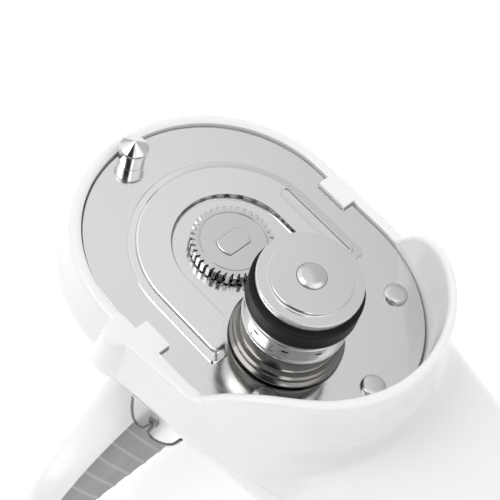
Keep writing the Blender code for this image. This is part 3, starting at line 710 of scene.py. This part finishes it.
# ------------------------------------------------------------------ steel face
rings = [[(x, y, z) for x, y in outline(o)] for o, z in ((-0.25, -1.6), (0.0, -1.4), (0.0, -0.22), (-0.06, -0.08), (-0.22, 0.0))]
face = loft("face_plate", rings)
for x0, x1, sgn in ((1.9, 7.6, -1), (-0.5, 5.9, 1)):
    y_in = YC + sgn * (22.4 - 2.3)
    pts = [(x0 - 0.3, YC + sgn * 30), (x0, YC + sgn * 22.0), (x0, y_in + sgn * 0.4), (x0 + 0.4, y_in), (x1 - 0.4, y_in), (x1, y_in + sgn * 0.4), (x1, YC + sgn * 22.0), (x1 + 0.3, YC + sgn * 30)]
    boolean(face, prism("n", pts, -5, 5))
boolean(face, rod("h", 0, 0, 5.7, -5, 5, 64))
boolean(face, rod("h", CAMX, CAMY, 5.8, -5, 5, 64))
for x, y in (*RIVETS, PIN):
    boolean(face, rod("h", x, y, 1.6, -5, 5, 24))
put(face, "plate", "housing", "base_plate", 30)


# ------------------------------------------------------------------ raised pad round the drive wheel
def horseshoe(out, inn, x_end, corner=0.8, n=72, m=5):
    """Two arcs about the drive axis and two legs, with rounded leg ends."""
    def arc(cx, cy, r, a0, a1, k):
        return [(cx + r * math.cos(math.radians(a0 + (a1 - a0) * i / k)), cy + r * math.sin(math.radians(a0 + (a1 - a0) * i / k))) for i in range(k + 1)]
    c = corner
    pts = arc(x_end - c, YC - out + c, c, 0, -90, m)
    pts += [(0.2 + (x_end - c - 0.2) * (1 - i / 6), YC - out) for i in range(1, 6)]
    pts += [(0.2 + out * math.cos(a), YC + out * math.sin(a)) for a in (-math.pi / 2 - math.pi * i / n for i in range(n + 1))]
    pts += [(0.2 + (x_end - c - 0.2) * i / 6, YC + out) for i in range(1, 6)]
    pts += arc(x_end - c, YC + out - c, c, 90, 0, m)
    c2 = min(c, 0.5)
    pts += arc(x_end - c2, YC + inn + c2, c2, 0, -90, m)
    pts += [(0.3 + inn * math.cos(a), YC + inn * math.sin(a)) for a in (math.pi / 2 + math.pi * i / n for i in range(n + 1))]
    pts += arc(x_end - c2, YC - inn - c2, c2, 90, 0, m)
    return pts


steps = ((17.0, 9.86, 13.9, 0.02), (17.0, 9.88, 13.9, 0.24), (16.88, 9.91, 13.78, 0.34), (16.1, 9.94, 13.0, 0.40), (15.84, 9.98, 12.72, 0.46),
         (15.66, 10.14, 12.5, 0.80), (15.5, 10.22, 12.35, 0.89), (15.35, 10.36, 12.2, 0.92))
pad = loft("rim_pad_pressed", [[(x, y, z) for x, y in horseshoe(o, i, e)] for o, i, e, z in steps])
boolean(pad, rod("c", CUTX, CUTY, 10.2, -2, 5, 96))
# long shallow recess along the far leg
slot_pts = stadium(-2.2, 12.0, YC + 14.25, 0.72, 16)
boolean(pad, loft("s", [[(x, y, z) for x, y in stadium(-2.2, 12.0, YC + 14.1, r, 16)] for r, z in ((0.72, 0.68), (0.80, 0.70), (1.02, 0.93), (1.1, 1.4))]))
put(pad, "pad", "housing", "rim_pad", 24)

# ------------------------------------------------------------------ rivets and pin
for i, (x, y) in enumerate(RIVETS):
    rv = lathe("rivet_%d" % (i + 1), x, y, ((0.0, 0.84), (1.2, 0.80), (1.7, 0.70), (2.0, 0.42), (2.05, 0.12), (2.05, 0.01), (1.3, 0.01), (1.3, -3.7)), 0.2, 64, seg=3)
    put(rv, "rivet", "housing", "plate_rivet_%d" % (i + 1), 40)
pin = lathe("locating_pin", PIN[0], PIN[1], ((0.0, 5.16), (2.3, 3.72), (2.46, 3.5), (2.46, 3.2), (2.28, 2.98), (2.2, 0.02), (1.5, 0.02), (1.5, -3.6)), 0.07, 72)
put(pin, "pin", "housing", "tip_pin", 25)


# ------------------------------------------------------------------ drive wheel with raked teeth
def toothed(name, levels, n=38, r0=6.08, r1=6.93):
    """Toothed disc; levels = (z, inset of the tips), from the bottom up."""
    rings = []
    for z, dr in levels:
        pts = []
        for i in range(n):
            for k, r in ((-0.04, r1 - dr), (0.30, r0), (0.52, r0), (0.44, r1 - dr)):
                a = 2 * math.pi * (i + k) / n
                pts.append((r * math.cos(a), r * math.sin(a), z))
        rings.append(pts)
    return loft(name, rings)


wheel = toothed("drive_gear", ((0.3, 0.10), (0.40, 0.0), (2.02, 0.0), (2.15, 0.18)))
groove = [(5.30, 5), (5.36, 2.10), (5.42, 1.99), (5.62, 1.99), (5.70, 2.10), (5.76, 5)]
verts = [(x, y, z) for r, z in groove for x, y in circle(0, 0, r, 96)]
gf = [(i * 96 + j, i * 96 + (j + 1) % 96, ((i + 1) % 6) * 96 + (j + 1) % 96, ((i + 1) % 6) * 96 + j) for i in range(6) for j in range(96)]
boolean(wheel, raw("g", verts, gf))


def double_d(r, flat, n=32):
    """Round outline with two flats square to X."""
    a0 = math.acos(flat / r)
    top = [(r * math.cos(a), r * math.sin(a)) for a in (a0 + (math.pi - 2 * a0) * i / n for i in range(n + 1))]
    return top + [(-x, -y) for x, y in top]


boolean(wheel, prism("b", double_d(2.84, 1.78), -1, 5))
put(wheel, "gear", "crank", "drive_wheel", 22)
sh = loft("drive_spindle", [[(x * s, y * s, z) for x, y in double_d(2.78, 1.72)] for s, z in ((1.0, -0.6), (1.0, 2.24), (0.985, 2.33), (0.94, 2.4))])
low = lathe("low", 0, 0, ((4.0, -0.5), (4.0, -13.0), (3.4, -13.0), (3.4, -30.0)), 0.15, 64)
boolean(sh, low, "UNION", first="EXACT")
boolean(sh, rod("t", 0, 0, 1.6, -40, -21.5, 24))
put(sh, "shaft", "crank", "drive_shaft", 25)

# ------------------------------------------------------------------ cutter stack
H = 2.6
cap = lathe("stack_cap", CUTX, CUTY, ((6.33, 17.81), (6.33, 17.24), (6.6, 17.2), (8.12, 17.2), (8.21, 17.06), (8.21, 16.1), (8.05, 15.95), (8.05, 15.3)), 0.16, 128, 2.34)
put(cap, "roller", "cutter_roller", "roller_cap", 28)
tyre = lathe("stack_tyre", CUTX, CUTY, ((8.35, 15.26), (8.84, 15.0), (8.84, 14.2), (8.80, 14.1), (8.80, 12.6), (8.84, 12.5), (8.84, 11.75), (8.45, 11.5)), 0.18, 128, H)
put(tyre, "rubber", "cutter_roller", "rubber_ring", 30)
band = lathe("stack_band", CUTX, CUTY, ((8.30, 11.46), (8.38, 11.3), (8.38, 10.75), (8.12, 10.6), (8.12, 10.2), (8.32, 10.05), (8.32, 7.35), (8.16, 7.2), (8.16, 6.95), (8.36, 6.8), (8.36, 6.45), (8.2, 6.35)), 0.08, 128, H)
for i in range(10):                                    # small windows round the band
    a = 2 * math.pi * (i + 0.35) / 10
    c, s = math.cos(a), math.sin(a)
    win = []
    for du, dv in ((-0.55, -0.2), (0.55, -0.2), (0.55, 0.2), (-0.55, 0.2)):
        win.append((du, dv))
    rr = [[(CUTX + r * c - u * s, CUTY + r * s + u * c, 9.0 + v) for u, v in win] for r in (7.7, 9.5)]
    boolean(band, loft("w", rr))
put(band, "roller_lo", "cutter_roller", "steel_ring", 28)
# hub and cutter disc take the darkened steel: painted shade
hub = lathe("stack_hub", CUTX, CUTY, ((7.7, 6.3), (7.55, 5.8), (7.0, 5.0), (6.85, 4.2), (7.1, 3.5), (7.7, 3.0), (7.95, 2.85), (8.0, 2.6), (8.35, 2.2), (8.8, 1.95), (8.85, 1.7), (8.75, 1.3)), 0.18, 128, H)
put(hub, "hub", "cutter_roller", "cutter_hub", 28)
disc = lathe("stack_cutter", CUTX, CUTY, ((7.0, 1.28), (8.3, 1.2), (9.15, 0.72), (9.25, 0.62), (9.22, 0.52), (7.6, 0.24), (6.6, 0.2)), 0.05, 128, H)
put(disc, "hub", "cutter_roller", "cutter_wheel", 25)
axle = lathe("stack_axle", CUTX, CUTY, ((0.0, 18.42), (0.7, 18.40), (1.6, 18.26), (2.15, 18.0), (2.3, 17.86), (2.3, -8.2)), 0.25, 64, seg=4)
put(axle, "rivet", "cutter_cam", "cutter_spindle", 40)


# ------------------------------------------------------------------ turning key
def key_place(e, n, z):
    s, c = math.sin(KEY_TURN), math.cos(KEY_TURN)
    return (e * s + n * c, -e * c + n * s, z)


def key_local(X, Y):
    s, c = math.sin(KEY_TURN), math.cos(KEY_TURN)
    return X * s - Y * c, X * c + Y * s


def key_thick(e):
    return 4.85 + 3.55 * np.maximum(0.0, np.cos(math.pi / 2 * np.minimum(1.0, np.abs(e) / KEY_A))) ** 3


def key_field(X, Y, Z, inset=0.0):
    """Oval body, thick at the hub and thin at the tips."""
    e, n = key_local(X, Y)
    A, B = KEY_A - 0.2 - inset, KEY_B - 0.2 - inset
    t = key_thick(e) - 0.1 - inset
    z = Z - KEY_Z
    pe, pt = 2.4, 3.7
    m = (np.abs(e) / A) ** pe + (np.abs(z) / B) ** pe
    q = np.maximum((m ** (pt / pe) + (np.abs(n) / t) ** pt) ** (1 / pt), 1e-4)
    mm = np.maximum(m, 1e-9)
    ge = mm ** (pt / pe - 1) * (np.abs(e) / A) ** (pe - 1) / A
    gz = mm ** (pt / pe - 1) * (np.abs(z) / B) ** (pe - 1) / B
    gn = (np.abs(n) / t) ** (pt - 1) / t
    g = np.sqrt(ge ** 2 + gz ** 2 + gn ** 2) * q ** (1 - pt)
    return (q - 1) / np.maximum(g, 0.02)


def oval_dist(e, z, inset):
    A, B = KEY_A - inset, KEY_B - inset
    p = 2.4
    q = np.maximum(((np.abs(e) / A) ** p + (np.abs(z) / B) ** p) ** (1 / p), 1e-4)
    g = np.sqrt(((np.abs(e) / A) ** (p - 1) / A) ** 2 + ((np.abs(z) / B) ** (p - 1) / B) ** 2) * q ** (1 - p)
    return (q - 1) / np.maximum(g, 0.01)


INSET = 1.25
INSET_FAR = 3.4


def key_shell_field(X, Y, Z):
    neck = rmax(np.hypot(X, Y) - 9.0, np.abs(Z + 17.9) - 3.4, 0.9)
    return smin(key_field(X, Y, Z), neck, 2.0)


def oval_prism(name, inset, n0, n1, k=200):
    """Prism across the key with its oval outline moved inwards."""
    a_, b_ = KEY_A - inset, KEY_B - inset
    rings = []
    for nn in (n0, n1):
        ring = []
        for i in range(k):
            t = 2 * math.pi * (i + 0.5) / k
            c, q = math.cos(t), math.sin(t)
            ring.append(key_place(a_ * math.copysign(abs(c) ** (2 / 2.4), c), nn, KEY_Z + b_ * math.copysign(abs(q) ** (2 / 2.4), q)))
        rings.append(ring)
    return loft(name, rings)


def key_grid(name, field, sgn=0, step=0.55):
    """Skin worked out along the key's own axes and then turned into place."""
    s, c = math.sin(KEY_TURN), math.cos(KEY_TURN)

    def local(E, N, Z):
        return field(E * s + N * c, -E * c + N * s, Z)
    lo, hi = -11.5, 11.5
    ob = skin(name, local, grid_line((-46.5, 46.5, step)), grid_line((lo, hi, step * 0.8)), grid_line((-47.5, -13.0, step)))
    ob.data.transform(Matrix(((s, c, 0, 0), (-c, s, 0, 0), (0, 0, 1, 0), (0, 0, 0, 1))))
    bm = bmesh.new()
    bm.from_mesh(ob.data)
    if bm.calc_volume(signed=True) < 0:
        bmesh.ops.reverse_faces(bm, faces=bm.faces)
    bm.to_mesh(ob.data)
    bm.free()
    return ob


key = key_grid("key_shell", key_shell_field)
for inset, n0, n1 in ((INSET, 1.2, 14.0), (INSET_FAR, -14.0, -1.2)):      # shallow seats for the grips
    seat = oval_prism("seat", inset, n0, n1)
    boolean(seat, key_grid("core", lambda X, Y, Z: key_field(X, Y, Z) + 1.75))
    boolean(key, seat)
boolean(key, rod("b", 0, 0, 3.7, -30.3, -5, 48))
boolean(key, rod("b", 0, 0, 1.6, -45, -20, 24))
boolean(key, rod("b", 0, 0, 3.6, -60, -41.0, 48))
put(key, "white", "crank", "crank_shell", 35, False)

RIBS = (26.6, 29.35, 32.1, 34.85, 37.6, 40.2)
RIB_LEAN = math.radians(64)


def grip_field(X, Y, Z):
    """Body of the key a little lower, with slanted ribs that fade out before the border."""
    e, n = key_local(X, Y)
    z = Z - KEY_Z
    edge = oval_dist(e, z, INSET)
    u = np.abs(e) * math.sin(RIB_LEAN) - z * math.cos(RIB_LEAN)
    rib = 0.0
    for r in RIBS:
        u0 = r * math.sin(RIB_LEAN) - (11.2 - 0.5 * (r - 26.6)) * math.cos(RIB_LEAN)
        rib = np.maximum(rib, np.exp(-((u - u0) / 0.34) ** 2))
    fade = np.clip((-edge - 0.8) / 0.9, 0, 1) * np.clip((np.abs(e) - 12.0) / 4.0, 0, 1)
    return key_field(X, Y, Z) + 0.30 - 0.16 * rib * fade


for nm, node, inset, n0, n1 in (("grip_near", "crank_grip_front", INSET + 0.08, 1.32, 14.0), ("grip_far", "crank_grip_rear", INSET_FAR + 0.08, -14.0, -1.32)):
    grip = key_grid(nm, grip_field, 0, 0.40)
    boolean(grip, oval_prism("o", inset, n0, n1), "INTERSECT")
    boolean(grip, key_grid("core", lambda X, Y, Z: key_field(X, Y, Z) + 1.6))
    put(grip, "grip", "crank", node, 40, False)
kc = lathe("key_screw_cap", 0, 0, ((0.0, -45.42), (1.6, -45.4), (2.9, -45.2), (3.3, -44.8), (3.3, -43.0), (0.0, -43.0))[::-1], 0.25, 48)
put(kc, "white", "crank", "crank_screw_cap", 35)

# ------------------------------------------------------------------ crown-cap lifter
def claw_plane(x):
    return -26.7 + 0.115 * (x - 4.19)


lobes = spline(tuple(range(20)), (7.5, 7.7, 8.1, 8.75, 9.55, 10.4, 11.15, 11.55, 11.95, 12.3, 12.05, 11.85, 12.05, 12.85, 13.85, 14.95, 16.0, 16.95, 17.6, 18.1))
lobes_z = spline(tuple(range(20)), (-7.6, -10.1, -12.5, -14.3, -14.95, -14.85, -14.3, -13.4, -12.2, -11.5, -12.8, -14.0, -14.8, -15.2, -15.0, -14.3, -13.2, -11.7, -9.8, -7.9))
claw = [(float(lobes(t)), float(lobes_z(t))) for t in np.linspace(0, 19, 96)] + [(18.2, -7.35), (7.45, -7.35)]


def inward(pts, d):
    """Outline moved inwards by d along its corner normals."""
    n = len(pts)
    area = sum(pts[i][0] * pts[(i + 1) % n][1] - pts[(i + 1) % n][0] * pts[i][1] for i in range(n))
    s = 1 if area > 0 else -1
    out = []
    for i in range(n):
        a, b, c = Vector(pts[i - 1]), Vector(pts[i]), Vector(pts[(i + 1) % n])
        t1, t2 = (b - a).normalized(), (c - b).normalized()
        nrm = (Vector((-t1.y, t1.x)) + Vector((-t2.y, t2.x))) * s
        if nrm.length < 1e-6:
            nrm = Vector((-t1.y, t1.x)) * s
        nrm.normalize()
        k = max(0.45, nrm.dot(Vector((-t1.y, t1.x)) * s))
        out.append((b.x + nrm.x * d / k, b.y + nrm.y * d / k))
    return out


def tube(name, path, r, n=14):
    """Round bead along a path of points in space."""
    rings = []
    up0 = Vector((0.115, -1.0, 0.0)).normalized()
    for i, p in enumerate(path):
        a, b = Vector(path[max(0, i - 1)]), Vector(path[min(len(path) - 1, i + 1)])
        t = (b - a).normalized()
        side = t.cross(up0).normalized()
        rings.append([tuple(Vector(p) + r * (math.cos(2 * math.pi * k / n) * side + math.sin(2 * math.pi * k / n) * up0)) for k in range(n)])
    return loft(name, rings)


rings = []
for d, q in ((0.25, 1.2), (0.0, 1.0), (0.0, 0.2), (0.2, 0.0)):
    rings.append([(x, claw_plane(x) + q, z) for x, z in inward(claw, d)])
cl = loft("cap_lifter", rings)
# bead along the lifter's edge in darkened chrome: a painted dark reflection line
bead = tube("cap_lifter_rim", [(x, claw_plane(x) + 0.1, z) for x, z in inward(claw, 0.22)[2:94]], 0.30)
boolean(cl, box("f", 9.0, 16.0, -25.2, -18.5, -14.3, -13.1), "UNION", first="EXACT")
boolean(cl, box("k", 7.1, 15.9, -21.2, -18.1, -14.3, -12.1), "UNION", first="EXACT")
put(cl, "chrome", "housing", "crown_cap_insert", 35)
put(bead, "edge", "housing", "crown_cap_insert", 50, False)
nub = []
for q, k in ((0.15, 1.0), (-0.25, 1.0), (-0.42, 0.62)):                 # small forged nub between the two lobes, in the darkened chrome as painted shade
    nub.append([(12.5 + k * px, claw_plane(12.5 + k * px) + q, -9.7 + k * pz) for px, pz in ((-0.85, -1.2), (0.75, -1.3), (0.95, 0.1), (0.6, 1.25), (-0.6, 1.1), (-0.95, 0.0))])
put(loft("cap_lifter_nub", nub), "edge", "housing", "crown_cap_insert", 30, False)

# ------------------------------------------------------------------ finishes of the parts that stay as they are
KEEP = {"cam_carrier": "plain", "cam_washer": "bush", "crank_screw": "plain", "friction_hub": "plain", "friction_ring": "rubber",
        "housing_screw_1": "plain", "housing_screw_2": "plain", "housing_screw_3": "plain", "housing_screw_4": "plain",
        "shaft_bush_front": "bush", "shaft_bush_rear": "bush", "thrust_washer": "bush", "wave_washer": "plain"}
for name, mat in KEEP.items():
    ob = NODES[name]
    ob.data.materials.clear()
    ob.data.materials.append(M[mat])

# ------------------------------------------------------------------ camera, floor and light
az, el, roll = math.radians(-59.474), math.radians(54.907), math.radians(19.168)
back = Vector((math.cos(el) * math.cos(az), math.cos(el) * math.sin(az), math.sin(el)))
right = Vector((0, 0, 1)).cross(back).normalized()
up = back.cross(right)
r2 = math.cos(roll) * right + math.sin(roll) * up
u2 = -math.sin(roll) * right + math.cos(roll) * up
focal, dist, scale = 1474.342, 210.586, 1.12
pos = (19.102 * dist / focal * r2 - 1.258 * dist / focal * u2 + dist * back) * scale * 0.001
pos.z -= Z_FACE * 0.001
cam = bpy.data.objects.new("camera", bpy.data.cameras.new("camera"))
mat4 = Matrix((r2, u2, back)).transposed().to_4x4()
mat4.translation = pos
cam.matrix_world = mat4
cam.data.sensor_width = 36.0
cam.data.lens = focal / 500.0 * 36.0
cam.data.clip_start, cam.data.clip_end = 0.005, 20.0
cam.data.dof.use_dof = False
bpy.context.scene.collection.objects.link(cam)
bpy.context.scene.camera = cam

FLOOR_Z = CAD_LO.z - 0.0005


def flat_quad(name, half, z):
    me = bpy.data.meshes.new(name)
    n = 12
    v = [(-half + 2 * half * i / n, -half + 2 * half * j / n, z) for j in range(n + 1) for i in range(n + 1)]
    f = [(j * (n + 1) + i, j * (n + 1) + i + 1, (j + 1) * (n + 1) + i + 1, (j + 1) * (n + 1) + i) for j in range(n) for i in range(n)]
    me.from_pydata(v, [], f)
    ob = bpy.data.objects.new(name, me)
    bpy.context.scene.collection.objects.link(ob)
    return ob


floor = flat_quad("floor", 3.0, FLOOR_Z)
fm, fnt, fbs = nodes_of("pale_floor")
fv = coords(fnt)
fnt.links.new(tint(fnt, noise(fnt, fv, 6, 3), (0.54, 0.54, 0.54), (0.57, 0.57, 0.57)), fbs.inputs["Base Color"])
fnt.links.new(ramp(fnt, noise(fnt, fv, 40, 3), 0.6, 0.75), fbs.inputs["Roughness"])
fbs.inputs["Emission Color"].default_value = (1, 1, 1, 1)
fbs.inputs["Emission Strength"].default_value = 0.62
bump(fnt, fbs, noise(fnt, fv, 500, 3), 0.03, 0.0002)
floor.data.materials.append(fm)

world = bpy.data.worlds.new("studio")
bpy.context.scene.world = world
world.use_nodes = True
wn = world.node_tree
bg = wn.nodes["Background"]
wtc = add(wn, "ShaderNodeTexCoord")


def patch(az_deg, el_deg, radius, soft, value, before):
    """Round patch of the studio sky, blended over what came before."""
    a, e = math.radians(az_deg), math.radians(el_deg)
    dot = add(wn, "ShaderNodeVectorMath", operation="DOT_PRODUCT")
    dot.inputs[1].default_value = (math.cos(e) * math.cos(a), math.cos(e) * math.sin(a), math.sin(e))
    wn.links.new(wtc.outputs["Generated"], dot.inputs[0])
    mr = add(wn, "ShaderNodeMapRange", interpolation_type="SMOOTHSTEP")
    mr.inputs["From Min"].default_value = math.cos(math.radians(radius + soft))
    mr.inputs["From Max"].default_value = math.cos(math.radians(max(0.5, radius - soft)))
    wn.links.new(dot.outputs["Value"], mr.inputs["Value"])
    mx = add(wn, "ShaderNodeMix", data_type="FLOAT")
    mx.inputs["B"].default_value = value
    if isinstance(before, float):
        mx.inputs["A"].default_value = before
    else:
        wn.links.new(before, mx.inputs["A"])
    wn.links.new(mr.outputs["Result"], mx.inputs["Factor"])
    return mx.outputs["Result"]


CAM_AZ = -59.5
sky = patch(CAM_AZ - 15.0, 18.0, 40.0, 25.0, 0.34, 0.72)
sky = patch(190.0, 48.0, 26.0, 20.0, 1.35, sky)
sky = patch(15.0, 55.0, 18.0, 16.0, 1.5, sky)
sky = patch(0.0, 90.0, 16.0, 12.0, 1.25, sky)
sky = patch(152.0, 60.0, 14.0, 14.0, 1.0, sky)
sky = patch(CAM_AZ - 66.0, 52.0, 17.0, 2.5, 3.2, sky)
sky = patch(CAM_AZ - 8.0, 52.0, 14.0, 3.0, 0.04, sky)
sky = patch(CAM_AZ + 26.0, 52.0, 7.0, 1.5, 2.6, sky)
wn.links.new(sky, bg.inputs["Strength"])
bg.inputs["Color"].default_value = (1, 1, 1, 1)

sc = bpy.context.scene
sc.view_settings.view_transform = "Standard"
sc.view_settings.look = "None"
sc.view_settings.exposure = 0.0
sc.view_settings.gamma = 1.0
